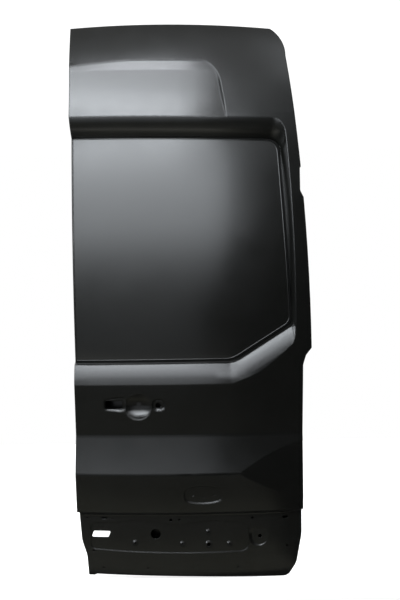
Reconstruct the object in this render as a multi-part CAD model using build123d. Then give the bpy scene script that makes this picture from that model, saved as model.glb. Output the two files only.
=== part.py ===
from build123d import *
from math import atan2, cos, degrees, radians, sin, tan
import os

# Bare steel leaf of a high-roof van's rear barn door, seen from outside with the hinges at the right.
# Drawing frame: X runs from the lock edge to the hinge edge, Z up from the lowest point, outside is -Y.
# In a section, a point is (out, height): out is how far it stands outside the chord of the lock edge.
# The finished leaf is moved so that its origin lies on the upper hinge face.

# Sheet gauges and plates
SHEET = 2.0
BLANK_GAUGE = 2.5
DOUBLER_GAUGE = 3.0
NUT_PLATE_GAUGE = 8.0
PLATE_CORNER = 8.0
NUT_PLATE_CORNER = 4.0
DRILL_LENGTH = 60.0

# Plan curve shared by every pressing
MID_X = 434.0
PLAN_RADIUS = 2400.0
CROWN = 39.0
SWEEP = 24.0
FAR_OUT = 220.0
FAR_BACK = -200.0
FAR_SPAN = 1500.0

# Section of the outer skin, from the roof edge down
TOP_END = (-50.0, 2040.0)
SCOOP_TOP = (10.0, 1884.0)
BROW_LIP = (50.0, 1676.0)
FLANK = (56.0, 1189.0)
SHOULDER = (23.0, 706.0)
DIP = (-2.0, 519.0)
CREASE = (34.0, 383.0)
HEM = (8.0, 242.0)
DIP_RADIUS = 30.0
CREASE_RADIUS = 26.0
BROW_FALL = 1.6
# Facet on which the crease runs up and out to the hinge edge, as (x, out, height)
CREASE_FACET = [(592.0, 34.0, 385.0), (829.0, 3.0, 519.0), (829.0, 15.9, 285.0)]
FACET_MARGIN = 1.25

# Scoop above the brow
SCOOP_BAND = (18.0, 1848.0)
SCOOP_BELLY = (29.0, 1762.0)
SCOOP_LIP_STEP = 1.0
SCOOP_END_X = 532.0
SCOOP_FOOT_X = 552.0
SCOOP_CORNER = 92.0
SCOOP_DRAFT = 38.0
SCOOP_LEVEL = 58.0
SCOOP_REACH = 45.0
SCOOP_HEAD_ROOM = 14.0

# Window pocket, blank and bond
POCKET_MID = (11.0, 1205.0)
POCKET_BOW = 3150.0
POCKET_HALF = 560.0
POCKET_TOP_Z = 1611.0
BROW_BULGE = 5.0
BROW_CORNER = 45.0
SILL_HEAD = (4.0, 779.0)
SILL_BULGE = 3.2
SILL_EDGE = 5.0
LEDGE_SLOPE = 25.0
# The sill turns up towards the hinge side in a knee of short straight runs
KNEE_X = 555.0
KNEE_RADIUS = 100.0
KNEE_LEANS = [10.0, 17.5, 25.0, 31.7]
KNEE_TWIST = 0.06
# Hinge-side wall of the pocket at its root, and its draft
WALL_ROOT = [(731.0, 1750.0), (765.0, 1250.0), (774.0, 750.0)]
WALL_ROOT_LEVEL = -60.0
WALL_DRAFT = 15.3
WALL_CORNER = 18.0
# Where the wall meets the brow and the sill, and how far about to look for those edges
HEAD_CORNER = (772.0, 1650.0)
SHELF_CORNER = (800.0, 880.0)
CORNER_REACH = 70.0
POCKET_BACK = -90.0
POCKET_FRONT = 250.0
BOND = 4.5
BLANK_GAP = 5.0
LOCK_GAP = 4.0
BLANK_FOOT_Z = 787.0
BLANK_HEAD = (757.0, 52.0)
BLANK_SIDE = (783.0, 1160.0, 2600.0)
BLANK_SHELF = (794.0, 921.0, 42.0)
BLANK_KNEE = 95.0
REBATE_WIDTH = 38.0
BOND_INSET = 12.0
BOND_WIDTH = 10.0

# Outline of the skin
TOP_LOCK_Z = 2019.0
TOP_MID = (400.0, 2016.0)
TOP_HINGE = (735.0, 1998.0)
ROOF_CORNER = (772.0, 1957.0)
ROOF_FOOT = (788.0, 1890.0)
HINGE_SIDE = (835.0, 1440.0)
LAMP_TOP = (863.0, 829.0)
LAMP_BEND = (842.0, 803.0)
LAMP_SHELF = (831.0, 768.0)
LAMP_RADIUS = 24.0
HEM_HINGE_X = 824.0
NOTCH_X = 828.0
NOTCH_HEIGHT = 84.0
NOTCH_RUN = 60.0
NOTCH_HEAD_LEAD = 10.0
NOTCH_FOOT_LEAD = 120.0
NOTCH_HEAD_RADIUS = 6.0
NOTCH_FOOT_RADIUS = 10.0

# Handle bowl, slots and badge seat
BOWL = (231.5, 627.0)
BOWL_RADIUS = 46.0
BOWL_DEPTH = 34.0
BOWL_LIP = 3.5
HANDLE_SLOT = (143.5, 633.0)
HANDLE_SLOT_SIZE = (61.0, 30.0)
KEY_SLOT = (305.0, 630.0)
KEY_HOLE_DIAMETER = 20.0
KEY_FLOOR_SIZE = (36.0, 30.0)
KEY_FLOOR_CORNER = 12.0
SLOT_LAND = 3.0
SLOT_CORNER = 6.0
SLOT_FLOOR_CORNER = 9.0
SLOT_DEPTH = 7.0
SLOT_DRAFT = 7.0
BADGE = (462.0, 302.0)
BADGE_SIZE = (130.0, 36.0)
BADGE_BOW = 10.0
BADGE_CORNER = 16.0
BADGE_DEPTH = 5.0
BADGE_DRAFT = 5.0
BADGE_PIN_SPACING = 38.0
BADGE_PIN_DIAMETER = 5.0
BADGE_PIN_RISE = 8.0

# Lower panel
LOWER_TOP_Z = 272.0
JOGGLE_Z = 246.0
JOGGLE_DROP = 16.0
LOWER_OUT = -6.0
JOGGLE_RADIUS = 8.0
TOE_Z = 95.0
TOE_KICK = 4.0
TOE_RADIUS = 200.0
WAVE_DEPTH = 4.0
WAVE_TAPER = 24.0
WAVE_CORNERS = [
    (53.0, 198.0, 12.0), (138.0, 195.0, 300.0), (230.0, 202.0, 200.0), (357.0, 176.0, 200.0),
    (477.0, 192.0, 250.0), (597.0, 187.0, 16.0), (609.0, 174.0, 14.0), (609.0, 112.0, 14.0),
    (53.0, 112.0, 14.0),
]
LOWER_CORNERS = [
    (9.0, LOWER_TOP_Z, 0.0), (9.0, 222.0, 60.0), (16.0, 138.0, 60.0), (34.0, 84.0, 50.0), (40.0, 13.0, 0.0),
    (62.0, 13.0, 3.0), (70.0, 17.0, 3.0), (434.0, 9.0, 0.0), (764.0, 0.0, 34.0), (797.0, 46.0, 60.0),
    (818.0, 150.0, 120.0), (819.0, LOWER_TOP_Z, 0.0),
]
BOLT_SLOT = (87.0, 161.0)
BOLT_SLOT_SIZE = (62.0, 22.0)
BOLT_SLOT_LEAN = 9.0
BOLT_SLOT_CORNER = 4.0
DRAIN_HOLE = (286.6, 162.7)
DRAIN_HOLE_DIAMETER = 36.0
# Holes in raised collars, plain round holes and upright slots, as (x, z, diameter or size)
COLLAR_HOLES = [
    (212.4, 129.8, 7.0), (384.0, 125.8, 7.0), (478.5, 167.6, 7.0), (553.4, 123.2, 7.0), (478.4, 123.2, 13.0),
]
COLLAR_LAND = 2.0
COLLAR_RISE = 5.0
LOWER_HOLES = [
    (665.0, 148.2, 13.0), (36.6, 220.6, 7.0), (129.2, 217.4, 6.0), (342.3, 213.1, 10.0), (373.5, 214.2, 8.0),
    (638.4, 215.7, 9.0), (59.4, 100.2, 8.0), (763.4, 109.7, 8.0),
]
LONG_HOLES = [(99.7, 220.6), (757.9, 213.5)]
LONG_HOLE_SIZE = (20.0, 9.0)
DISH = (665.0, 148.2)
DISH_DIAMETER = 60.0
DISH_DEPTH = 3.0
DISH_TAPER = 60.0
CLIP_HOLES_X = [95.0, 257.0, 419.0, 584.0]
CLIP_HOLE_Z = 40.0
CLIP_HOLE_DIAMETER = 7.0

# Inner tray
INNER_OUT = -60.0
HINGE_X = 812.0
UPPER_HINGE_Z = 1437.0
LOWER_HINGE_Z = 772.0
HINGE_Y = -6.0
HINGE_SEAT = (46.0, 130.0)
SEAT_CORNER = 11.0
SEAT_RISE = 1.5
SEAT_DRAFT = 2.0
HINGE_PLATE = (44.0, 120.0)
NUT_PLATE = (30.0, 90.0)
HINGE_BOLT_SPACING = 56.0
HINGE_BOLT_DIAMETER = 10.5
TRAY_SPLIT_Z = 704.0
APERTURES = [
    [(95.0, 850.0, 45.0), (95.0, 1570.0, 45.0), (690.0, 1552.0, 60.0), (715.0, 960.0, 60.0),
     (560.0, 850.0, 80.0)],
    [(110.0, 1742.0, 30.0), (110.0, 1925.0, 30.0), (590.0, 1910.0, 40.0), (640.0, 1742.0, 40.0)],
    [(100.0, 300.0, 24.0), (100.0, 560.0, 24.0), (395.0, 560.0, 24.0), (395.0, 300.0, 24.0)],
    [(470.0, 310.0, 24.0), (470.0, 560.0, 24.0), (745.0, 560.0, 24.0), (745.0, 310.0, 24.0)],
    [(36.0, 116.0, 12.0), (132.0, 116.0, 12.0), (132.0, 186.0, 12.0), (36.0, 186.0, 12.0)],
]
APERTURE_REACH = 10.0
FLANGE_SPLIT_GAP = 2.0
LOCK_WALL_X = 14.0
HINGE_WALL_X = HINGE_X - SEAT_RISE
TRAY_CORNERS = [
    (LOCK_WALL_X, 2003.0, 20.0), (715.0, 1984.0, 60.0), (766.0, 1890.0, 80.0), (HINGE_WALL_X, 1530.0, 200.0),
    (HINGE_WALL_X, 680.0, 60.0), (806.0, 240.0, 60.0), (798.0, 140.0, 60.0), (776.0, 50.0, 50.0),
    (742.0, 18.0, 20.0), (56.0, 30.0, 10.0), (52.0, 84.0, 30.0), (28.0, 140.0, 50.0), (24.0, 240.0, 30.0),
    (LOCK_WALL_X, 300.0, 30.0),
]
LATCH_Y = 26.0
LATCH_Z = 625.0
LATCH_PLATE = (40.0, 130.0)
LATCH_HOLE_SPACING = 80.0
LATCH_HOLE_DIAMETER = 8.5
CHECK_STRAP_Z = 1040.0
CHECK_STRAP_PLATE = (44.0, 90.0)
UPPER_BOLT = (70.0, 1962.0)
UPPER_BOLT_PLATE = (80.0, 50.0)
UPPER_BOLT_HOLE_DIAMETER = 22.0
BOLT_PLATE_MARGIN = 9.0
HANDLE_DOUBLER = (76.0, 62.0)
KEY_DOUBLER = (46.0, 60.0)

# Rails and bars
RAIL_OUT = -36.0
RAIL_FLANGE = 16.0
RAIL_SIDE = 8.0
BROW_RAIL_Z = (1590.0, 1725.0)
WAIST_RAIL_Z = (696.0, 842.0)
BOTTOM_RAIL_Z = (192.0, 268.0)
BAR_WIDTH = 36.0
BAR_DEPTH = 8.0
BAR_GAP = 10.0
BAR_ENDS_Z = (765.0, 1650.0)
BAR_X = {"lock": 250.0, "hinge": 520.0}
PAD_RADIUS = 14.0
PAD_SIDES = 6
PAD_GAP = 0.3
WINDOW_PADS_Z = [980.0, 1130.0, 1280.0, 1430.0]
CREASE_BAR_OUT = 18.0
CREASE_BAR_HEIGHT = 48.0
CREASE_BAR_DEPTH = 14.0
CREASE_BAR_END = 665.0
CREASE_PADS_X = [140.0, 300.0, 460.0, 620.0]

PLAN_AXIS = Axis((MID_X, PLAN_RADIUS - CROWN, 0), (0, 0, 1))
SECTION = Plane(origin=(MID_X, 0, 0), x_dir=(0, 1, 0), z_dir=(1, 0, 0))


def at(out, z):
    """Section point for a given stand-out and height."""
    return (-(out + CROWN), z)


def plan_sweep(section):
    """Sweep a section face round the plan curve."""
    return revolve(SECTION * section, PLAN_AXIS, SWEEP).rotate(PLAN_AXIS, -SWEEP / 2)


def swing(*edges):
    """Sweep a section given by its edges round the plan curve."""
    return plan_sweep(make_face(list(edges)))


def band(*points):
    """Sweep a straight-sided section given as (out, height) points."""
    return swing(Polyline(*[at(*point) for point in points], close=True))


def region(curve, far):
    """All that lies between a section curve and a far plane."""
    start = curve[0] @ 0
    end = curve[-1] @ 1
    return swing(*curve, Polyline(end, at(far, end.Y), at(far, start.Y), start))


def front_of(*curve):
    return region(curve, FAR_OUT)


def behind(*curve):
    return region(curve, FAR_BACK)


def shifted(shape, back):
    return shape.moved(Location((0, back, 0)))


def sheet_of(form, depth=0.0, gauge=SHEET):
    """Pressed sheet that lies the given depth behind a form's outside."""
    return shifted(form, depth) - shifted(form, depth + gauge)


def outline(*corners):
    """Face in X and Z from corners (x, z, radius)."""
    points = [(x, z) for x, z, _ in corners]
    return make_face(FilletPolyline(*points, radius=[r for _, _, r in corners], close=True))


def prism(face, out_back=FAR_BACK, out_front=FAR_OUT):
    return extrude(Plane.XZ.offset(out_back) * face, out_front - out_back)


def slab(z_low, z_high):
    return Pos(MID_X, 0, (z_low + z_high) / 2) * Box(FAR_SPAN, FAR_SPAN, z_high - z_low)


def hole(x, z, diameter):
    return prism(Pos(x, z) * Circle(diameter / 2))


def tilted(shape):
    """The brow and all above the window fall a little towards the hinge side."""
    return shape.rotate(Axis((0, 0, BROW_LIP[1]), (0, 1, 0)), BROW_FALL)


def hem_out(z):
    slope = (CREASE[0] - HEM[0]) / (CREASE[1] - HEM[1])
    return HEM[0] + (z - HEM[1]) * slope


def crown_at(x):
    return CROWN - (x - MID_X) ** 2 / (2 * PLAN_RADIUS)


def skin_level(x, z):
    """Where the plain skin below the shoulder stands in the drawing frame."""
    low, high = (HEM, CREASE) if z < CREASE[1] else (DIP, SHOULDER)
    share = (z - low[1]) / (high[1] - low[1])
    return low[0] + share * (high[0] - low[0]) + crown_at(x)


def recess(body, centre, floor, depth, draft):
    """Pressed recess with sloped sides and a floor that follows the skin."""
    x, z = centre
    start = Plane.XZ.offset(skin_level(x, z) - 2 * depth)
    face = Pos(x, z) * offset(floor, -draft)
    cutter = extrude(start * face, 4 * depth, taper=-degrees(atan2(draft, depth)))
    return cutter & sheet_of(body, 0, depth)


def bowed(first, second, bulge):
    """Arc down from one section point to another that bulges outward."""
    start, end = Vector(*at(*first)), Vector(*at(*second))
    chord = end - start
    outward = Vector(chord.Y, -chord.X).normalized()
    return ThreePointArc(start, (start + end) / 2 + outward * bulge, end)


def skin_body():
    top = ThreePointArc(at(*TOP_END), at(*SCOOP_TOP), at(*BROW_LIP))
    flank = ThreePointArc(at(*BROW_LIP), at(*FLANK), at(*SHOULDER))
    foot_z = LOWER_TOP_Z - 4 * (LOWER_TOP_Z - JOGGLE_Z)
    lower = FilletPolyline(at(*SHOULDER), at(*DIP), at(*CREASE), at(hem_out(foot_z), foot_z),
                           radius=[DIP_RADIUS, CREASE_RADIUS])
    return behind(top, flank, *lower.edges())


def crease_facet():
    """All that stands in front of the facet that takes the crease up to the hinge edge."""
    points = [Vector(x, -(out + crown_at(x)), z) for x, out, z in CREASE_FACET]
    middle = (points[0] + points[1] + points[2]) / 3
    corners = [middle + (point - middle) * FACET_MARGIN for point in points]
    return extrude(make_face(Polyline(*corners, close=True)), FAR_OUT, dir=(0, -1, 0))


def scoop_cut():
    lip = (BROW_LIP[0] - SCOOP_LIP_STEP, BROW_LIP[1])
    belly = ThreePointArc(at(*SCOOP_BAND), at(*SCOOP_BELLY), at(*lip))
    strip = Line(at(*SCOOP_TOP), at(*SCOOP_BAND))
    rise = Line(at(SCOOP_TOP[0] + SCOOP_REACH, SCOOP_TOP[1] + SCOOP_REACH / 2), at(*SCOOP_TOP))
    fall = Line(belly @ 1, at(lip[0] + SCOOP_REACH / 2, lip[1] - SCOOP_REACH))
    hollow = front_of(rise, strip, belly, fall)
    growth = SCOOP_REACH * tan(radians(SCOOP_DRAFT))
    head_z = SCOOP_TOP[1] + SCOOP_HEAD_ROOM
    foot_z = lip[1] - 2 * SCOOP_REACH
    root = outline((-FAR_OUT, foot_z, 0), (SCOOP_FOOT_X - growth, foot_z, 0),
                   (SCOOP_END_X - growth, head_z - growth, SCOOP_CORNER - growth),
                   (-FAR_OUT, head_z - growth, 0))
    walls = extrude(Plane.XZ.offset(SCOOP_LEVEL - SCOOP_REACH) * root, 2 * SCOOP_REACH, taper=-SCOOP_DRAFT)
    return tilted(hollow & walls)


def floor_curve(depth=0.0):
    """Bowed section of the window pocket, a given depth behind the blank's outside."""
    drop = POCKET_HALF ** 2 / (2 * POCKET_BOW)
    out, z = POCKET_MID
    return ThreePointArc(at(out - drop - depth, z + POCKET_HALF), at(out - depth, z),
                         at(out - drop - depth, z - POCKET_HALF))


def floor_out(z):
    return POCKET_MID[0] - (z - POCKET_MID[1]) ** 2 / (2 * POCKET_BOW)


def below_brow():
    """All that lies below the brow's bowed underside."""
    arc = bowed(BROW_LIP, (floor_out(POCKET_TOP_Z), POCKET_TOP_Z), BROW_BULGE)
    lead = Line((arc @ 0) - (arc % 0) * POCKET_FRONT, arc @ 0)
    tail = Line(arc @ 1, (arc @ 1) - (arc % 1) * POCKET_BACK)
    low = SHOULDER[1] - POCKET_FRONT
    rest = Polyline(tail @ 1, ((tail @ 1).X, low), ((lead @ 0).X, low), lead @ 0)
    return tilted(swing(lead, arc, tail, rest))


def sill_section():
    """Section of all that lies above the sill: a ledge, a rounded head and a bowed face."""
    arc = bowed(SILL_HEAD, SHOULDER, SILL_BULGE)
    ledge = Line((arc @ 0) - Vector(POCKET_BACK, POCKET_BACK * tan(radians(LEDGE_SLOPE))), arc @ 0)
    lead = Line(arc @ 1, (arc @ 1) + (arc % 1) * POCKET_FRONT)
    front, _ = at(FAR_OUT, 0)
    high = TOP_LOCK_Z + POCKET_FRONT
    rest = Polyline(lead @ 1, (front, (lead @ 1).Y), (front, high), ((ledge @ 0).X, high), ledge @ 0)
    face = make_face([ledge, arc, lead, rest])
    return fillet(face.vertices().sort_by_distance((*at(*SILL_HEAD), 0))[0], SILL_EDGE)


def sill_run(section, lean):
    """Straight run of the sill that touches its knee where it leans by the given angle."""
    turn = radians(lean)
    run = Vector(1, KNEE_TWIST * sin(turn), tan(turn)).normalized()
    x = KNEE_X + KNEE_RADIUS * sin(turn)
    touch = Vector(x, CROWN - crown_at(x), KNEE_RADIUS * (1 - cos(turn)))
    plane = Plane(origin=touch - run * FAR_SPAN / 2, x_dir=(0, 1, 0), z_dir=(1, 0, 0))
    return extrude(plane * section, FAR_SPAN, dir=run)


def hinge_side_wall():
    """All that lies on the window's side of the pocket's drafted wall."""
    edge = ThreePointArc(*WALL_ROOT)
    low, high = SHOULDER[1] - POCKET_FRONT, TOP_LOCK_Z
    face = make_face([edge, Polyline(edge @ 1, (-FAR_OUT, low), (-FAR_OUT, high), edge @ 0)])
    return extrude(Plane.XZ.offset(WALL_ROOT_LEVEL) * face, POCKET_FRONT, taper=-WALL_DRAFT)


def corner_edges(shape, corner):
    """Edges that run in depth at a corner of the pocket."""
    deep = [edge for edge in shape.edges() if edge.bounding_box().size.Y > 2 * SHEET]
    return [edge for edge in deep if abs(edge.center().X - corner[0]) < CORNER_REACH
            and abs(edge.center().Z - corner[1]) < CORNER_REACH]


def pocket_cut():
    cut = front_of(floor_curve(BLANK_GAUGE + BOND)) & below_brow() & hinge_side_wall()
    cut = fillet(corner_edges(cut, HEAD_CORNER), BROW_CORNER)
    section = sill_section()
    cut &= sill_run(section, KNEE_LEANS[-1])
    cut = fillet(corner_edges(cut, SHELF_CORNER), WALL_CORNER)
    for lean in KNEE_LEANS[:-1]:
        cut &= sill_run(section, lean)
    return cut & plan_sweep(section)


def bowl_cut():
    """Deep round bowl with a bevelled lip, square to the skin."""
    x, z = BOWL
    lean = (SHOULDER[0] - DIP[0]) / (SHOULDER[1] - DIP[1])
    face = Plane(origin=(x, -skin_level(x, z), z), z_dir=((x - MID_X) / PLAN_RADIUS, -1, -lean))
    throat = BOWL_DEPTH - BOWL_LIP
    centre = (BOWL_RADIUS ** 2 / throat - BOWL_DEPTH - BOWL_LIP) / 2
    ball = Pos(0, 0, centre) * Sphere(centre + BOWL_DEPTH)
    below_lip = Pos(0, 0, -BOWL_LIP - BOWL_DEPTH) * Cylinder(2 * BOWL_RADIUS, 2 * BOWL_DEPTH)
    lip = Cone(BOWL_RADIUS, BOWL_RADIUS + 3 * BOWL_LIP, 3 * BOWL_LIP)
    return face * (ball & below_lip + Pos(0, 0, BOWL_LIP / 2) * lip)


def badge_floor():
    """Pillow-shaped floor of the bare badge seat."""
    width, height = BADGE_SIZE
    top = ThreePointArc((width / 2, height / 2), (0, height / 2 + BADGE_BOW), (-width / 2, height / 2))
    foot = ThreePointArc((-width / 2, -height / 2), (0, -height / 2 - BADGE_BOW), (width / 2, -height / 2))
    face = make_face([top, foot, Line(top @ 1, foot @ 0), Line(foot @ 1, top @ 0)])
    return fillet(face.vertices(), BADGE_CORNER)


def skin_form():
    body = skin_body() - crease_facet()
    form = body - scoop_cut() - pocket_cut() - bowl_cut()
    slot_floor = RectangleRounded(*[length + 2 * SLOT_LAND for length in HANDLE_SLOT_SIZE], SLOT_FLOOR_CORNER)
    form -= recess(body, HANDLE_SLOT, slot_floor, SLOT_DEPTH, SLOT_DRAFT)
    form -= recess(body, KEY_SLOT, RectangleRounded(*KEY_FLOOR_SIZE, KEY_FLOOR_CORNER), SLOT_DEPTH, SLOT_DRAFT)
    form -= recess(body, BADGE, badge_floor(), BADGE_DEPTH, BADGE_DRAFT)
    return form


def skin_outline():
    lock = Line((0, HEM[1]), (0, TOP_LOCK_Z))
    top = ThreePointArc((0, TOP_LOCK_Z), TOP_MID, TOP_HINGE)
    corner = ThreePointArc(TOP_HINGE, ROOF_CORNER, ROOF_FOOT)
    side = ThreePointArc(ROOF_FOOT, HINGE_SIDE, LAMP_TOP)
    lamp = FilletPolyline(LAMP_TOP, LAMP_BEND, LAMP_SHELF, (HEM_HINGE_X, HEM[1]),
                          radius=[LAMP_RADIUS, LAMP_RADIUS])
    hem = Line((HEM_HINGE_X, HEM[1]), (0, HEM[1]))
    face = make_face([lock, top, corner, side, *lamp.edges(), hem])
    notch_top = UPPER_HINGE_Z + NOTCH_HEIGHT / 2
    notch_foot = UPPER_HINGE_Z - NOTCH_HEIGHT / 2
    mouth_x = NOTCH_X + NOTCH_RUN
    notch = outline((mouth_x, notch_top + NOTCH_HEAD_LEAD, 0), (NOTCH_X, notch_top, NOTCH_HEAD_RADIUS),
                    (NOTCH_X, notch_foot, NOTCH_FOOT_RADIUS), (mouth_x, notch_foot - NOTCH_FOOT_LEAD, 0))
    return face - notch


def blank_outline(inset=0.0):
    """Outline of the window blank, or of a line set in from its edge."""
    gap = BLANK_GAP + inset
    head_x, head_radius = BLANK_HEAD
    side_x, side_z, side_radius = BLANK_SIDE
    shelf_x, shelf_z, shelf_radius = BLANK_SHELF
    lean = radians(KNEE_LEANS[-1])
    knee_x = shelf_x - (shelf_z - BLANK_FOOT_Z) / tan(lean)
    fall = (head_x - LOCK_GAP) * tan(radians(BROW_FALL))
    return outline(
        (LOCK_GAP + inset, BLANK_FOOT_Z + gap, LOCK_GAP),
        (LOCK_GAP + inset, POCKET_TOP_Z - gap, LOCK_GAP),
        (head_x - gap, POCKET_TOP_Z - fall - gap, max(head_radius - gap, LOCK_GAP)),
        (side_x - gap, side_z, side_radius),
        (shelf_x - gap, shelf_z + gap * tan((radians(90) - lean) / 2), max(shelf_radius - gap, LOCK_GAP)),
        (knee_x - gap * tan(lean / 2), BLANK_FOOT_Z + gap, BLANK_KNEE),
    )


def outer_skin(form):
    sheet = sheet_of(form) & prism(skin_outline())
    sheet -= prism(blank_outline(REBATE_WIDTH))
    sheet -= prism(Pos(*HANDLE_SLOT) * RectangleRounded(*HANDLE_SLOT_SIZE, SLOT_CORNER))
    sheet -= hole(*KEY_SLOT, KEY_HOLE_DIAMETER)
    for step in (-1, 0, 1):
        pin_z = BADGE[1] - BADGE_PIN_RISE / 2 + BADGE_PIN_RISE * abs(step)
        sheet -= hole(BADGE[0] + step * BADGE_PIN_SPACING, pin_z, BADGE_PIN_DIAMETER)
    return sheet


def collar(x, z, diameter, level):
    """Raised round collar, as a form that the sheet follows."""
    top = diameter / 2 + COLLAR_LAND
    cone = Cone(top + 2 * COLLAR_RISE, top, 2 * COLLAR_RISE)
    return Pos(x, -level, z) * Rot(90, 0, 0) * cone


def lower_form():
    curve = FilletPolyline(
        at(hem_out(LOWER_TOP_Z) - SHEET, LOWER_TOP_Z), at(hem_out(JOGGLE_Z) - SHEET, JOGGLE_Z),
        at(LOWER_OUT, JOGGLE_Z - JOGGLE_DROP), at(LOWER_OUT, TOE_Z), at(LOWER_OUT + TOE_KICK, -TOE_Z),
        radius=[JOGGLE_RADIUS, JOGGLE_RADIUS, TOE_RADIUS])
    body = behind(*curve.edges())
    start = Plane.XZ.offset(LOWER_OUT - WAVE_DEPTH)
    cutter = extrude(start * outline(*WAVE_CORNERS), CROWN + 4 * WAVE_DEPTH, taper=-WAVE_TAPER)
    form = body - (cutter & sheet_of(body, 0, WAVE_DEPTH))
    for x, z, diameter in COLLAR_HOLES:
        form += collar(x, z, diameter, LOWER_OUT - WAVE_DEPTH + crown_at(x))
    x, z = DISH
    dish = Plane.XZ.offset(LOWER_OUT - DISH_DEPTH + crown_at(x)) * Pos(x, z) * Circle(DISH_DIAMETER / 2)
    return form - extrude(dish, 4 * DISH_DEPTH, taper=-DISH_TAPER)


def bolt_slot(margin=0.0):
    x, z = BOLT_SLOT
    half = BOLT_SLOT_SIZE[0] / 2 + margin
    rise = BOLT_SLOT_SIZE[1] / 2 + margin
    lean = BOLT_SLOT_LEAN / 2
    corners = [(x - half - lean, z - rise), (x + half - lean, z - rise),
               (x + half + lean, z + rise), (x - half + lean, z + rise)]
    return outline(*[(*corner, BOLT_SLOT_CORNER) for corner in corners])


def lower_panel(form):
    sheet = sheet_of(form) & prism(outline(*LOWER_CORNERS))
    sheet -= prism(bolt_slot())
    sheet -= hole(*DRAIN_HOLE, DRAIN_HOLE_DIAMETER)
    for x, z, diameter in COLLAR_HOLES + LOWER_HOLES:
        sheet -= hole(x, z, diameter)
    for x, z in LONG_HOLES:
        sheet -= prism(Pos(x, z) * SlotOverall(*LONG_HOLE_SIZE))
    for x in CLIP_HOLES_X:
        sheet -= hole(x, CLIP_HOLE_Z, CLIP_HOLE_DIAMETER)
    return sheet


def window_blank():
    return (behind(floor_curve()) & front_of(floor_curve(BLANK_GAUGE))) & prism(blank_outline())


def window_bond_bead():
    ring = prism(blank_outline(BOND_INSET)) - prism(blank_outline(BOND_INSET + BOND_WIDTH))
    return behind(floor_curve(BLANK_GAUGE)) & front_of(floor_curve(BLANK_GAUGE + BOND)) & ring


def inner_panel(skin, lower):
    tray = outline(*TRAY_CORNERS)
    tray_core = offset(tray, -SHEET)
    step_z = LOWER_TOP_Z
    skin_zone = slab(step_z, step_z + 2 * FAR_SPAN)
    lower_zone = slab(step_z - 2 * FAR_SPAN, step_z)
    cavity = (shifted(skin, SHEET) & skin_zone) + (shifted(lower, SHEET) & lower_zone)
    back = front_of(Line(at(INNER_OUT - SHEET, 2 * FAR_SPAN), at(INNER_OUT - SHEET, -FAR_SPAN)))
    wall = (prism(tray) - prism(tray_core)) & cavity & back
    face = band((INNER_OUT, 2 * FAR_SPAN), (INNER_OUT - SHEET, 2 * FAR_SPAN),
                (INNER_OUT - SHEET, -FAR_SPAN), (INNER_OUT, -FAR_SPAN)) & prism(tray)
    flange_top = sheet_of(skin, SHEET) & (prism(skin_outline()) - prism(tray))
    flange_top &= slab(step_z + FLANGE_SPLIT_GAP, step_z + 2 * FAR_SPAN)
    flange_foot = sheet_of(lower, SHEET) & (prism(outline(*LOWER_CORNERS)) - prism(tray))
    panel = wall + face + flange_top + flange_foot
    for corners in APERTURES:
        panel -= prism(outline(*corners), FAR_BACK, INNER_OUT + CROWN + APERTURE_REACH)
    return panel


def rail(z_range, interior):
    low, high = z_range
    foot = INNER_OUT
    in_low, in_high = low + RAIL_FLANGE, high - RAIL_FLANGE
    top = RAIL_OUT
    section = band(
        (foot + SHEET, low), (foot + SHEET, in_low), (top, in_low + RAIL_SIDE), (top, in_high - RAIL_SIDE),
        (foot + SHEET, in_high), (foot + SHEET, high), (foot, high), (foot, in_high - SHEET),
        (top - SHEET, in_high - RAIL_SIDE - SHEET), (top - SHEET, in_low + RAIL_SIDE + SHEET),
        (foot, in_low + SHEET), (foot, low))
    return section & interior


def window_bar(x):
    gap = BLANK_GAUGE + BAR_GAP
    low, high = BAR_ENDS_Z
    web = behind(floor_curve(gap)) & front_of(floor_curve(gap + SHEET))
    depth = behind(floor_curve(gap)) & front_of(floor_curve(gap + BAR_DEPTH))
    strip = Pos(x, (low + high) / 2) * Rectangle(BAR_WIDTH, high - low)
    core = Pos(x, (low + high) / 2) * Rectangle(BAR_WIDTH - 2 * SHEET, high - low)
    bar = (web & prism(strip)) + (depth & (prism(strip) - prism(core)))
    return bar & front_of(Line(at(RAIL_OUT, high + BAR_WIDTH), at(RAIL_OUT, low - BAR_WIDTH)))


def pad_column(x, z):
    return prism(Pos(x, z) * RegularPolygon(PAD_RADIUS, PAD_SIDES))


def window_pads():
    gap = behind(floor_curve(BLANK_GAUGE + PAD_GAP)) & front_of(floor_curve(BLANK_GAUGE + BAR_GAP))
    pads = [gap & pad_column(x, z) for x in BAR_X.values() for z in WINDOW_PADS_Z]
    return Compound(children=[solid for pad in pads for solid in pad.solids()])


def crease_bar(interior):
    top = CREASE[1] + CREASE_BAR_HEIGHT / 2
    low = CREASE[1] - CREASE_BAR_HEIGHT / 2
    out = CREASE_BAR_OUT
    back = out - CREASE_BAR_DEPTH
    section = band((out, top), (out, low), (back, low), (back, low + SHEET), (out - SHEET, low + SHEET),
                   (out - SHEET, top - SHEET), (back, top - SHEET), (back, top))
    length = Pos(CREASE_BAR_END - FAR_SPAN / 2, 0, 0) * Box(FAR_SPAN, FAR_SPAN, FAR_SPAN)
    return section & interior & length


def crease_pads(skin):
    high, low = CREASE[1] + CREASE_BAR_HEIGHT, CREASE[1] - CREASE_BAR_HEIGHT
    room = front_of(Line(at(CREASE_BAR_OUT, high), at(CREASE_BAR_OUT, low)))
    room_behind_skin = shifted(skin, SHEET)
    pads = [pad_column(x, CREASE[1]) & room_behind_skin & room for x in CREASE_PADS_X]
    return Compound(children=[solid for pad in pads for solid in pad.solids()])


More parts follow.
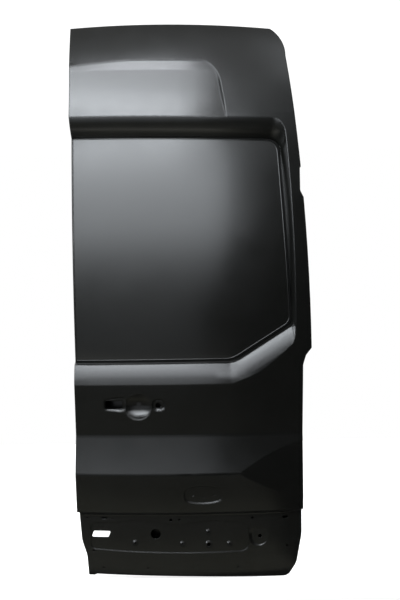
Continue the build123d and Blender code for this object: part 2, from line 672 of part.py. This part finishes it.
def hinge_bolts(z):
    """Drills for the bolts of one hinge, square to the hinge wall."""
    pitch = GridLocations(HINGE_BOLT_SPACING, 0, 2, 1)
    drills = [spot * Cylinder(HINGE_BOLT_DIAMETER / 2, DRILL_LENGTH) for spot in pitch]
    return Pos(HINGE_X, HINGE_Y, z) * Rot(0, 90, 0) * Part(children=drills)


def hinge_seat(z):
    """Raised flat pad of the hinge wall that one hinge is bolted to."""
    depth, height = [length + 2 * SEAT_DRAFT for length in HINGE_SEAT]
    foot = RectangleRounded(height, depth, SEAT_CORNER + SEAT_DRAFT)
    pad = extrude(foot, SEAT_RISE, taper=degrees(atan2(SEAT_DRAFT, SEAT_RISE)))
    return Pos(HINGE_WALL_X, HINGE_Y, z) * Rot(0, 90, 0) * pad


def hinge_wall_plate(z, size, corner, near, gauge):
    """Plate inside the hinge wall, its outside face the given distance from the wall's face."""
    plate = extrude(RectangleRounded(size[1], size[0], corner), gauge)
    return Pos(HINGE_X - near - gauge, HINGE_Y, z) * Rot(0, 90, 0) * plate


def lock_wall_plate():
    plate = extrude(RectangleRounded(LATCH_PLATE[1], LATCH_PLATE[0], PLATE_CORNER), DOUBLER_GAUGE)
    plate = Pos(LOCK_WALL_X + SHEET, LATCH_Y, LATCH_Z) * Rot(0, 90, 0) * plate
    return plate - latch_holes()


def latch_holes():
    pitch = GridLocations(LATCH_HOLE_SPACING, 0, 2, 1)
    drills = [spot * Cylinder(LATCH_HOLE_DIAMETER / 2, DRILL_LENGTH) for spot in pitch]
    return Pos(LOCK_WALL_X, LATCH_Y, LATCH_Z) * Rot(0, 90, 0) * Part(children=drills)


def upper_bolt_plate():
    x, z = UPPER_BOLT
    plate = RectangleRounded(*UPPER_BOLT_PLATE, PLATE_CORNER)
    face = Pos(x, z) * (plate - Circle(UPPER_BOLT_HOLE_DIAMETER / 2))
    top, low = z + UPPER_BOLT_PLATE[1], z - UPPER_BOLT_PLATE[1]
    return prism(face) & band((INNER_OUT, top), (INNER_OUT + DOUBLER_GAUGE, top),
                              (INNER_OUT + DOUBLER_GAUGE, low), (INNER_OUT, low))


def slot_doubler(centre, size, opening):
    """Doubler behind the floor of a slot's recess."""
    face = Pos(*centre) * (RectangleRounded(*size, SLOT_CORNER) - opening)
    return prism(face) & sheet_of(skin_body(), SLOT_DEPTH + SHEET, SHEET)


skin = skin_form()
lower = lower_form()
interior = prism(offset(outline(*TRAY_CORNERS), -SHEET))
inner = inner_panel(skin, lower) - latch_holes() - hole(*UPPER_BOLT, UPPER_BOLT_HOLE_DIAMETER)
for hinge_z in (UPPER_HINGE_Z, LOWER_HINGE_Z):
    seat = hinge_seat(hinge_z)
    inner = inner + seat - seat.moved(Location((-SHEET, 0, 0))) - hinge_bolts(hinge_z)

nodes = {
    "outer_skin": outer_skin(skin),
    "window_blank": window_blank(),
    "window_bond_bead": window_bond_bead(),
    "lower_panel": lower_panel(lower),
    "inner_panel_upper": inner & slab(TRAY_SPLIT_Z, TRAY_SPLIT_Z + 2 * FAR_SPAN),
    "inner_panel_lower": inner & slab(TRAY_SPLIT_Z - 2 * FAR_SPAN, TRAY_SPLIT_Z),
    "brow_rail": rail(BROW_RAIL_Z, interior),
    "waist_rail": rail(WAIST_RAIL_Z, interior),
    "bottom_rail": rail(BOTTOM_RAIL_Z, interior),
    "crease_bar": crease_bar(interior),
    "crease_pads": crease_pads(skin),
    "window_pads": window_pads(),
    "latch_doubler": lock_wall_plate(),
    "upper_bolt_plate": upper_bolt_plate(),
    "lower_bolt_plate": prism(bolt_slot(BOLT_PLATE_MARGIN) - bolt_slot()) & sheet_of(lower, SHEET, SHEET),
    "check_strap_doubler": hinge_wall_plate(CHECK_STRAP_Z, CHECK_STRAP_PLATE, PLATE_CORNER,
                                            SEAT_RISE + SHEET, DOUBLER_GAUGE),
    "handle_slot_doubler": slot_doubler(HANDLE_SLOT, HANDLE_DOUBLER,
                                        RectangleRounded(*HANDLE_SLOT_SIZE, SLOT_CORNER)),
    "key_slot_doubler": slot_doubler(KEY_SLOT, KEY_DOUBLER, Circle(KEY_HOLE_DIAMETER / 2)),
}
for side, x in BAR_X.items():
    nodes["window_bar_" + side + "_side"] = window_bar(x)
for name, z in (("upper", UPPER_HINGE_Z), ("lower", LOWER_HINGE_Z)):
    doubler = hinge_wall_plate(z, HINGE_PLATE, PLATE_CORNER, SHEET, DOUBLER_GAUGE)
    nodes[name + "_hinge_doubler"] = doubler - hinge_bolts(z)
    nut_plate = hinge_wall_plate(z, NUT_PLATE, NUT_PLATE_CORNER, SHEET + DOUBLER_GAUGE, NUT_PLATE_GAUGE)
    nodes[name + "_hinge_nut_plate"] = nut_plate - hinge_bolts(z)

home = Location((-HINGE_X, -HINGE_Y, -UPPER_HINGE_Z))
os.makedirs("parts", exist_ok=True)
for name, shape in nodes.items():
    print(name, shape.is_valid, len(shape.solids()), round(shape.volume))
    export_step(shape.moved(home), "parts/" + name + ".step")
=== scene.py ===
import bpy
from math import cos, pi, radians, sin
from mathutils import Euler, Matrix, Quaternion, Vector


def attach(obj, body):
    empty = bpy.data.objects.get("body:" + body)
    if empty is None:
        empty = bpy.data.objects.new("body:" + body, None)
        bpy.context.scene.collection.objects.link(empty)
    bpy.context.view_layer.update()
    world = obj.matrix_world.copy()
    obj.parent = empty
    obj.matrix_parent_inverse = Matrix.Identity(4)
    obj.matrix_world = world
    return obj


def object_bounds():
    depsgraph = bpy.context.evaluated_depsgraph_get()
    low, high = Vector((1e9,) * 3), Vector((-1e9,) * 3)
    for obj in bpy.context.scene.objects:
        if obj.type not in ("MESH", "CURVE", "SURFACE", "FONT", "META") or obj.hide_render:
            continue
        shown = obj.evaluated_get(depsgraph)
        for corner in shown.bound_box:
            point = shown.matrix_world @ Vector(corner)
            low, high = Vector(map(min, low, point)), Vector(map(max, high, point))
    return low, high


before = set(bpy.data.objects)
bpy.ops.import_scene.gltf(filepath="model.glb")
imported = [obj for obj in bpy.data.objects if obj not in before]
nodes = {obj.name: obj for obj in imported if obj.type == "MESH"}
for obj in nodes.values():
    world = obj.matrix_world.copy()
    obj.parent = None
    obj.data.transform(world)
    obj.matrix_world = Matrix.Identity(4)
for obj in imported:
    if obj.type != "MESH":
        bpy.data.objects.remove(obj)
cad_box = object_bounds()

# Lengths are in metres. X runs from the lock edge to the hinge edge, Z is up, and the outside faces -Y.

# Camera, from the photograph's framing
EYE = Vector((-0.350, -3.394, -0.429))
LENS = 55.84
ROLL = 1.0

# Wall of softboxes in front of the leaf, as (left, right, foot, head, radiance)
WALL_Y = -1.70
COOL_TINT = (0.90, 0.95, 1.0)
WALL = [
    (-2.40, -0.38, 1.60, 1.94, 16.1),
    (-2.10, -0.20, 1.40, 1.60, 11.2),
    (-2.10, -0.20, 1.20, 1.40, 5.62),
    (-2.40, -0.20, 1.00, 1.20, 4.88),
    (-2.10, -0.50, 0.80, 1.00, 11.2),
    (-0.50, -0.10, 0.80, 1.00, 7.12),
    (-2.10, -0.40, 0.60, 0.80, 6.6),
    (-0.40, 0.00, 0.60, 0.80, 4.65),
    (-2.10, 0.00, 0.40, 0.60, 5.1),
    (-2.10, 0.00, 0.20, 0.40, 4.35),
    (-2.10, 0.00, 0.00, 0.20, 3.9),
    (-2.10, -0.05, -0.20, 0.00, 2.62),
    (-2.10, -0.10, -0.40, -0.20, 1.12),
    (-2.10, -0.20, -0.60, -0.40, 0.562),
    (-2.10, -0.30, -1.20, -0.60, 0.3),
    (0.00, 0.30, 0.00, 1.60, 0.75),
    (0.30, 0.90, 0.60, 1.70, 0.375),
    (-2.40, -0.60, 2.40, 3.40, 0.06),
    (-0.60, 0.60, 1.70, 3.40, 0.3),
    (0.60, 1.60, 1.70, 3.40, 1.2),
]
# Tilts of a softbox: straight down is 0
FACING_LEAF = 90
FACING_UP = 180
# Light that comes back up from the floor, as (name, centre, tilt, width, height, radiance, tint):
# under the brow, then near to the leaf, and further out
BROW_TINT = (1.0, 1.0, 0.95)
FLOOR_TINT = (1.0, 1.0, 0.80)
BOUNCES = [
    ("softbox_brow_near", (-0.75, -0.235, -0.75), FACING_UP, 1.10, 0.17, 0.45, BROW_TINT),
    ("softbox_brow_far", (-0.60, -0.80, -1.43), FACING_UP, 1.60, 0.20, 0.19, BROW_TINT),
    ("softbox_bounce_near", (-0.68, -0.27, -1.43), FACING_UP, 1.44, 0.40, 0.20, FLOOR_TINT),
    ("softbox_bounce_left", (-1.25, -1.15, -1.43), FACING_UP, 2.50, 1.30, 0.07, FLOOR_TINT),
    ("softbox_bounce_right", (0.70, -1.15, -1.43), FACING_UP, 1.40, 1.30, 0.022, FLOOR_TINT),
]
# Fill from the lock side for the walls that face it, turned to face the hinge side
SIDE = ("softbox_side", (-2.60, -0.75, 0.25), FACING_LEAF, 0.90, 1.10, 8.0, COOL_TINT, -90)

# Room: its level in front of the leaf, the ceiling and the backdrop, and the directions where these set in
ROOM_LEVEL = 0.015
CEILING_LEVEL = 0.30
CEILING_SPAN = (0.35, 0.75)
BACKDROP_LEVEL = 1.5
BACKDROP_SPAN = (-0.20, 0.35)
BACKDROP_RISE = (-0.35, 0.45)
BACKDROP_FOOT_SHARE = 0.1

# Floor, and how much whiter it is to the camera
FLOOR_FRONT = -0.27
FLOOR_BACK = 3.2
FLOOR_HALF_WIDTH = 2.6
FLOOR_COLOUR = (0.86, 0.86, 0.86, 1)
FLOOR_ROUGHNESS = 0.9
FLOOR_LIFT = 0.75
WHITE = (1, 1, 1, 1)

# Electrocoat: mottled colour, smudged gloss and orange peel
COAT_DARK = (0.0046, 0.0047, 0.0041, 1)
COAT_PALE = (0.0062, 0.0063, 0.0056, 1)
MOTTLE_SPAN = (0.35, 0.7)
MOTTLE_SCALE = 6.0
SMUDGE_SPAN = (0.3, 0.7)
SMUDGE_NOISE = (9.0, 5.0, 0.6)
COAT_ROUGHNESS = (0.220, 0.262)
COAT_SPECULAR = 0.667
PEEL_NOISE = (420.0, 2.0)
PEEL_STRENGTH = 0.04
PEEL_DEPTH = 0.0006

# Sealing compounds: tones, gloss and lumps
ADHESIVE_AND_GAP_SHADE_TONE = 0.006
MASTIC_TONE = 0.03
SEAL_DARK = (0.6, 0.6, 0.6)
SEAL_PALE = (1.4, 1.4, 1.3)
SEAL_GRAIN_SCALE = 40.0
SEAL_ROUGHNESS = 0.75
SEAL_SPECULAR = 0.08
LUMP_SCALE = 180.0
LUMP_STRENGTH = 0.3
LUMP_DEPTH = 0.001

# Rounding of pressed edges in the shading, and the angle above which an edge stays sharp
SKIN_ROUNDING = 0.005
FINE_ROUNDING = 0.0018
ROUNDING_SAMPLES = 6
SHARP_ANGLE = 12
# The band above the crease is slightly hollow: its foot, its head, and the tilt of the normal at its head
BAND_FOOT = -1.054
BAND_HEAD = -0.918
BAND_END = (BAND_HEAD + 0.02, BAND_HEAD + 0.04)
BAND_LEAN = (0.05, 0.25)
BAND_TILT = -0.105
# The brow curls under: its underside faces more to the front near the lip, which falls towards the hinge side
BROW_FALL = 0.022
BROW_FOOT = 0.165
BROW_LIP = 0.2173
BROW_LEAN = (-0.50, -0.35)
BROW_TILT = 0.37
# The ledges of the handle's pressings and of the badge seat slope less steeply than their walls
LEDGE_END = (-0.75, -0.74)
LEDGE_LEAN = (0.35, 0.62)
LEDGE_TILT = -0.26
# The handle bowl is hollowed like a trough, less across than up and down
BOWL_X = -0.5805
BOWL_Z = -0.810
BOWL_END = (0.050, 0.051)
BOWL_FLATTEN = -0.65
BOWL_LEAN_IN = (0.05, 0.15)
BOWL_LEAN_OUT = (0.20, 0.50)
BOWL_TILT = -0.12
# At the bowl's deepest point the mesh's own normal is uneven, so it is held straight out
POLE_X = -0.5797
POLE_Z = -0.8052
POLE_END = (0.004, 0.008)
POLE_PULL = -20.0
# Only the outside of the skin is turned, not the back of the sheet
OUTSIDE_LEAN = (-0.3, 0.0)
# Where the skin's rounding changes, as (x, z, reach in x, reach in z, margin, added radius):
# the sill's knee, the bowl's lip, and none left in the middle of the bowl
ROUNDING_CHANGES = [
    (-0.257, -0.695, 0.030, 0.010, 0.020, 0.029),
    (BOWL_X, BOWL_Z, 0.052, 0.060, 0.001, 0.003),
    (BOWL_X, BOWL_Z, 0.012, 0.012, 0.016, -0.008),
]

# Rounded edge of the blank
RIM_INSET = -0.0017
RIM_RADIUS = 0.0022
# Adhesive pressed out round the blank, partly real squeeze-out and partly painted shade filling the dark gap round
# the blank, and how it swells at the pocket's upper corner on the hinge side as painted shade over a glint there
SQUEEZE_SHADE_RADIUS = 0.0034
SQUEEZE_SHADE_DEPTH = 0.0040
SHADE_SWELL = 0.0024
SHADE_SWELL_CENTRE = Vector((-0.0585, 0.1300))
SHADE_SWELL_REACH = 0.045
LOCK_EDGE_CLEARANCE = 0.0002
BEAD_SIDES = 10
# A sheet's front face is the part of it that faces outside by at least this much
FRONT_FACING = -0.8
POINT_DIGITS = 6


class Graph:
    """Node tree of a material or a world, with short calls for the nodes that the looks share."""

    def __init__(self, owner):
        owner.use_nodes = True
        self.nodes = owner.node_tree.nodes
        self.links = owner.node_tree.links

    def add(self, kind, operation=None):
        node = self.nodes.new("ShaderNode" + kind)
        if operation:
            node.operation = operation
        return node

    def feed(self, socket, value):
        """Links a socket to another node's output, or writes a number on it."""
        if isinstance(value, bpy.types.NodeSocket):
            self.links.new(value, socket)
        else:
            socket.default_value = value

    def math(self, operation, *values):
        node = self.add("Math", operation)
        for socket, value in zip(node.inputs, values):
            self.feed(socket, value)
        return node.outputs[0]

    def product(self, first, *others):
        for other in others:
            first = self.math("MULTIPLY", first, other)
        return first

    def total(self, first, *others):
        for other in others:
            first = self.math("ADD", first, other)
        return first

    def distance(self, value, place):
        return self.math("ABSOLUTE", self.math("SUBTRACT", value, place))

    def remap(self, value, span, low, high):
        node = self.add("MapRange")
        for name, number in zip(("From Min", "From Max", "To Min", "To Max"), (*span, low, high)):
            node.inputs[name].default_value = number
        self.feed(node.inputs["Value"], value)
        return node.outputs["Result"]

    def axis(self, vector, name):
        node = self.add("SeparateXYZ")
        self.feed(node.inputs["Vector"], vector)
        return node.outputs[name]

    def coordinate(self, name):
        return self.add("TexCoord").outputs[name]

    def noise(self, place, scale, detail=3.0, rough=0.55):
        node = self.add("TexNoise")
        node.inputs["Scale"].default_value = scale
        node.inputs["Detail"].default_value = detail
        node.inputs["Roughness"].default_value = rough
        self.feed(node.inputs["Vector"], place)
        return node.outputs["Fac"]

    def ramp(self, value, dark, pale, span=(0.0, 1.0)):
        node = self.add("ValToRGB")
        for stop, colour, position in zip(node.color_ramp.elements, (dark, pale), span):
            stop.color = colour
            stop.position = position
        self.feed(node.inputs["Fac"], value)
        return node.outputs["Color"]

    def bump(self, height, strength, depth, normal=None):
        node = self.add("Bump")
        node.inputs["Strength"].default_value = strength
        node.inputs["Distance"].default_value = depth
        self.feed(node.inputs["Height"], height)
        if normal:
            self.feed(node.inputs["Normal"], normal)
        return node.outputs["Normal"]


def new_material(name):
    material = bpy.data.materials.new(name)
    graph = Graph(material)
    return material, graph, graph.nodes["Principled BSDF"].inputs


def skin_rounding(graph, place):
    """Radius of the skin's pressed edges, with its changes from place to place."""
    x, z = graph.axis(place, "X"), graph.axis(place, "Z")
    radius = SKIN_ROUNDING
    for centre_x, centre_z, reach_x, reach_z, margin, added in ROUNDING_CHANGES:
        near_x = graph.remap(graph.distance(x, centre_x), (reach_x, reach_x + margin), added, 0.0)
        near_z = graph.remap(graph.distance(z, centre_z), (reach_z, reach_z + margin), 1.0, 0.0)
        radius = graph.total(graph.product(near_x, near_z), radius)
    return radius


def pressed_normal(graph, place, normal):
    """Normal of the outer skin, turned where the real pressings are softer than the solids."""
    x, z = graph.axis(place, "X"), graph.axis(place, "Z")
    facing = graph.add("NewGeometry").outputs["True Normal"]
    lean = graph.axis(facing, "Z")
    outside = graph.remap(graph.axis(facing, "Y"), OUTSIDE_LEAN, 1.0, 0.0)

    band = graph.product(
        graph.remap(z, (BAND_FOOT, BAND_HEAD), 0.0, BAND_TILT),
        graph.remap(z, BAND_END, 1.0, 0.0),
        graph.remap(lean, BAND_LEAN, 0.0, 1.0))

    from_lip = graph.math("MULTIPLY_ADD", x, BROW_FALL, z)
    brow = graph.product(
        graph.remap(from_lip, (BROW_FOOT, BROW_LIP), 0.0, BROW_TILT),
        graph.remap(lean, BROW_LEAN, 1.0, 0.0))

    from_bowl = graph.distance(x, BOWL_X)
    level_with_bowl = graph.remap(graph.distance(z, BOWL_Z), BOWL_END, 1.0, 0.0)
    ledges = graph.product(
        graph.remap(z, LEDGE_END, LEDGE_TILT, 0.0),
        graph.remap(lean, LEDGE_LEAN, 0.0, 1.0),
        graph.remap(from_bowl, BOWL_END, 0.0, 1.0))
    bowl = graph.product(
        graph.remap(from_bowl, BOWL_END, BOWL_TILT, 0.0),
        level_with_bowl,
        graph.remap(lean, BOWL_LEAN_IN, 0.0, 1.0),
        graph.remap(lean, BOWL_LEAN_OUT, 1.0, 0.0))
    flatten = graph.product(
        graph.axis(normal, "X"),
        graph.remap(from_bowl, BOWL_END, BOWL_FLATTEN, 0.0),
        level_with_bowl)
    pole = graph.product(
        graph.remap(graph.distance(x, POLE_X), POLE_END, POLE_PULL, 0.0),
        graph.remap(graph.distance(z, POLE_Z), POLE_END, 1.0, 0.0))

    turn = graph.add("CombineXYZ")
    graph.feed(turn.inputs["X"], flatten)
    graph.feed(turn.inputs["Y"], pole)
    graph.feed(turn.inputs["Z"], graph.total(ledges, bowl, brow, band))
    outer_turn = graph.add("VectorMath", "SCALE")
    graph.feed(outer_turn.inputs["Vector"], turn.outputs["Vector"])
    graph.feed(outer_turn.inputs["Scale"], outside)
    turned = graph.add("VectorMath", "ADD")
    graph.feed(turned.inputs[0], normal)
    graph.feed(turned.inputs[1], outer_turn.outputs["Vector"])
    unit = graph.add("VectorMath", "NORMALIZE")
    graph.feed(unit.inputs[0], turned.outputs["Vector"])
    return unit.outputs["Vector"]


def electrocoat(name, pressed):
    """Satin black electrocoat: faint mottling, fine orange peel, handling smudges and rounded pressed edges."""
    material, graph, shader = new_material(name)
    place = graph.coordinate("Object")
    mottle = graph.noise(place, MOTTLE_SCALE)
    graph.feed(shader["Base Color"], graph.ramp(mottle, COAT_DARK, COAT_PALE, MOTTLE_SPAN))
    smudge = graph.noise(place, *SMUDGE_NOISE)
    graph.feed(shader["Roughness"], graph.remap(smudge, SMUDGE_SPAN, *COAT_ROUGHNESS))
    shader["Specular IOR Level"].default_value = COAT_SPECULAR
    rounding = graph.add("Bevel")
    rounding.samples = ROUNDING_SAMPLES
    graph.feed(rounding.inputs["Radius"], skin_rounding(graph, place) if pressed else FINE_ROUNDING)
    normal = rounding.outputs["Normal"]
    if pressed:
        normal = pressed_normal(graph, place, normal)
    peel = graph.noise(place, *PEEL_NOISE)
    graph.feed(shader["Normal"], graph.bump(peel, PEEL_STRENGTH, PEEL_DEPTH, normal))
    return material


def sealant(name, tone):
    """Matt black sealing compound with a slightly lumpy skin."""
    material, graph, shader = new_material(name)
    place = graph.coordinate("Object")
    dark, pale = ((*(tone * share for share in shares), 1) for shares in (SEAL_DARK, SEAL_PALE))
    graph.feed(shader["Base Color"], graph.ramp(graph.noise(place, SEAL_GRAIN_SCALE), dark, pale))
    shader["Roughness"].default_value = SEAL_ROUGHNESS
    shader["Specular IOR Level"].default_value = SEAL_SPECULAR
    lumps = graph.noise(place, LUMP_SCALE)
    graph.feed(shader["Normal"], graph.bump(lumps, LUMP_STRENGTH, LUMP_DEPTH))
    return material


def softbox(name, centre, tilt, width, height, radiance, tint, turn=0):
    light = bpy.data.lights.new(name, "AREA")
    light.color = tint
    light.shape = "RECTANGLE"
    light.size, light.size_y = width, height
    light.energy = radiance * pi * width * height
    lamp = bpy.data.objects.new(name, light)
    lamp.location = centre
    lamp.rotation_euler = (radians(tilt), 0, radians(turn))
    lamp.visible_camera = False
    bpy.context.scene.collection.objects.link(lamp)


def light_wall():
    for number, (left, right, foot, head, radiance) in enumerate(WALL):
        centre = ((left + right) / 2, WALL_Y, (foot + head) / 2)
        softbox("softbox_%d" % number, centre, FACING_LEAF, right - left, head - foot, radiance, COOL_TINT)


def room():
    """White to the camera, pale behind the leaf, dim in front of it and a little paler at the ceiling."""
    world = bpy.data.worlds.new("room")
    graph = Graph(world)
    bpy.context.scene.world = world
    direction = graph.coordinate("Generated")
    up = graph.axis(direction, "Z")
    ceiling = graph.remap(up, CEILING_SPAN, ROOM_LEVEL, CEILING_LEVEL)
    backdrop = graph.product(
        graph.remap(graph.axis(direction, "Y"), BACKDROP_SPAN, 0.0, BACKDROP_LEVEL),
        graph.remap(up, BACKDROP_RISE, BACKDROP_FOOT_SHARE, 1.0))
    lit = graph.math("MAXIMUM", ceiling, backdrop)
    seen = graph.math("MAXIMUM", lit, graph.add("LightPath").outputs["Is Camera Ray"])
    background = graph.nodes["Background"].inputs
    graph.feed(background["Strength"], seen)
    background["Color"].default_value = WHITE


def floor():
    low = cad_box[0].z
    left, right = EYE.x - FLOOR_HALF_WIDTH, EYE.x + FLOOR_HALF_WIDTH
    corners = [(left, FLOOR_FRONT, low), (right, FLOOR_FRONT, low), (right, FLOOR_BACK, low), (left, FLOOR_BACK, low)]
    mesh = bpy.data.meshes.new("floor")
    mesh.from_pydata(corners, [], [(0, 1, 2, 3)])
    piece = bpy.data.objects.new("floor", mesh)
    bpy.context.scene.collection.objects.link(piece)
    material, graph, shader = new_material("floor")
    shader["Base Color"].default_value = FLOOR_COLOUR
    shader["Roughness"].default_value = FLOOR_ROUGHNESS
    shader["Emission Color"].default_value = WHITE
    to_camera = graph.add("LightPath").outputs["Is Camera Ray"]
    graph.feed(shader["Emission Strength"], graph.product(to_camera, FLOOR_LIFT))
    mesh.materials.append(material)
    piece.visible_glossy = False


def camera():
    data = bpy.data.cameras.new("camera")
    data.lens = LENS
    eye = bpy.data.objects.new("camera", data)
    eye.location = EYE
    eye.rotation_mode = "QUATERNION"
    level = Euler((radians(90), 0, 0)).to_quaternion()
    eye.rotation_quaternion = level @ Quaternion((0, 0, 1), -radians(ROLL))
    bpy.context.scene.collection.objects.link(eye)
    bpy.context.scene.camera = eye


def front_loop(node):
    """Closed line round the front face of a sheet node, in order."""
    mesh = node.data
    places = {}
    label = [places.setdefault(tuple(round(c, POINT_DIGITS) for c in v.co), len(places)) for v in mesh.vertices]
    spots = list(places)
    edges = []
    for face in mesh.polygons:
        if face.normal.y < FRONT_FACING:
            corners = [label[i] for i in face.vertices]
            edges += zip(corners, corners[1:] + corners[:1])
    known = set(edges)
    follow = {a: b for a, b in edges if (b, a) not in known}
    start = here = next(iter(follow))
    loop = []
    while not loop or here != start:
        loop.append(Vector(spots[here]))
        here = follow[here]
    return loop


def beside(loop, outward, back):
    """The line moved sideways in the leaf's plane and back from its outside."""
    moved = []
    for i, point in enumerate(loop):
        along = (loop[(i + 1) % len(loop)] - loop[i - 1]).normalized()
        side = Vector((along.z, 0, -along.x)).normalized()
        moved.append(point + side * outward + Vector((0, back, 0)))
    return moved


def tube(name, loop, radii, material):
    """Round bead along a closed line, with its radius at each point."""
    points, faces = [], []
    count = len(loop)
    for i, point in enumerate(loop):
        along = (loop[(i + 1) % count] - loop[i - 1]).normalized()
        across = along.cross(Vector((0, 1, 0))).normalized()
        rise = across.cross(along)
        here, after = i * BEAD_SIDES, (i + 1) % count * BEAD_SIDES
        for k in range(BEAD_SIDES):
            turn = 2 * pi * k / BEAD_SIDES
            points.append(point + radii[i] * (cos(turn) * across + sin(turn) * rise))
            beyond = (k + 1) % BEAD_SIDES
            faces.append((here + k, after + k, after + beyond, here + beyond))
    mesh = bpy.data.meshes.new(name)
    mesh.from_pydata(points, [], faces)
    mesh.validate()
    mesh.shade_smooth()
    mesh.materials.append(material)
    piece = bpy.data.objects.new(name, mesh)
    bpy.context.scene.collection.objects.link(piece)
    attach(piece, "root")
    return piece


skin_coat = electrocoat("primed_steel", True)
fine_coat = electrocoat("primed_steel_fine", False)
# The adhesive's dark tone is also used as painted shade in the gap round the blank
adhesive_and_gap_shade = sealant("bond_adhesive", ADHESIVE_AND_GAP_SHADE_TONE)
mastic = sealant("mastic", MASTIC_TONE)
own_looks = {"outer_skin": skin_coat, "window_bond_bead": adhesive_and_gap_shade, "window_pads": mastic, "crease_pads": mastic}
for name, node in nodes.items():
    node.data.materials.clear()
    node.data.materials.append(own_looks.get(name, fine_coat))
    node.data.shade_smooth()
    node.data.set_sharp_from_angle(angle=radians(SHARP_ANGLE))

blank_edge = front_loop(nodes["window_blank"])
rim_line = beside(blank_edge, RIM_INSET, 0)
tube("window_blank_rim", rim_line, [RIM_RADIUS] * len(rim_line), fine_coat)
# Dark adhesive bead in the gap round the blank: partly pressed-out adhesive, partly painted shade that darkens the
# gap, swelled at one corner so that painted shade hides a glint
squeeze_shade_line = beside(blank_edge, SQUEEZE_SHADE_RADIUS, SQUEEZE_SHADE_DEPTH)
swelled_shade_line = beside(blank_edge, SQUEEZE_SHADE_RADIUS + SHADE_SWELL, SQUEEZE_SHADE_DEPTH)
squeeze_shade_radii = []
for point, swelled in zip(squeeze_shade_line, swelled_shade_line):
    share = max(0.0, 1 - (Vector((point.x, point.z)) - SHADE_SWELL_CENTRE).length / SHADE_SWELL_REACH)
    share = share * share * (3 - 2 * share)
    squeeze_shade_radii.append(SQUEEZE_SHADE_RADIUS + SHADE_SWELL * share)
    point += (swelled - point) * share
    point.x = max(point.x, cad_box[0].x + squeeze_shade_radii[-1] + LOCK_EDGE_CLEARANCE)
tube("window_bond_squeeze_and_gap_shade", squeeze_shade_line, squeeze_shade_radii, adhesive_and_gap_shade)

light_wall()
for lamp in [SIDE] + BOUNCES:
    softbox(*lamp)
room()
floor()
camera()
bpy.context.scene.view_settings.view_transform = "Standard"
